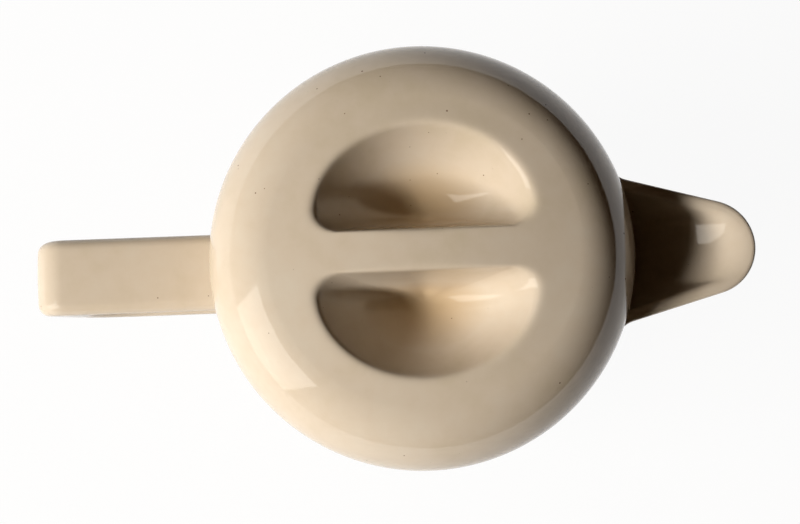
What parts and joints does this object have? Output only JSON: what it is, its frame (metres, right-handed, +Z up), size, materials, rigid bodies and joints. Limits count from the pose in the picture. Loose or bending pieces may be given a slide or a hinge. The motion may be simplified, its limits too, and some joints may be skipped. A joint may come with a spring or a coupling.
{
  "type": "lidded chocolate pot",
  "caption": "Round ceramic chocolate pot with a pouring lip, a strap handle and a lift-off domed lid gripped by a bar between finger wells.",
  "frame": {"origin": "on the pot's axis, in the plane of the face that the foot ring stands on", "axes": "+Z up along the pot's axis, +X towards the spout, -X towards the handle, the lid's grip bar along X"},
  "size_m": [0.201, 0.115, 0.165],
  "materials": {
    "cream_glaze": "glossy cream glaze with sparse iron specks",
    "bare_clay": "unglazed buff clay, wiped smooth"
  },
  "bodies": {
    "pot": {"pot_body": "cream_glaze", "foot_ring": "bare_clay", "spout": "cream_glaze", "handle": "cream_glaze"},
    "lid": {"lid_cover": "cream_glaze", "lid_collar": "cream_glaze"}
  },
  "joints": [
    {"name": "lid_lift", "type": "slide", "parent": "pot", "child": "lid", "axis": [0, 0, 1], "range_m": [0, 0.12]}
  ]
}
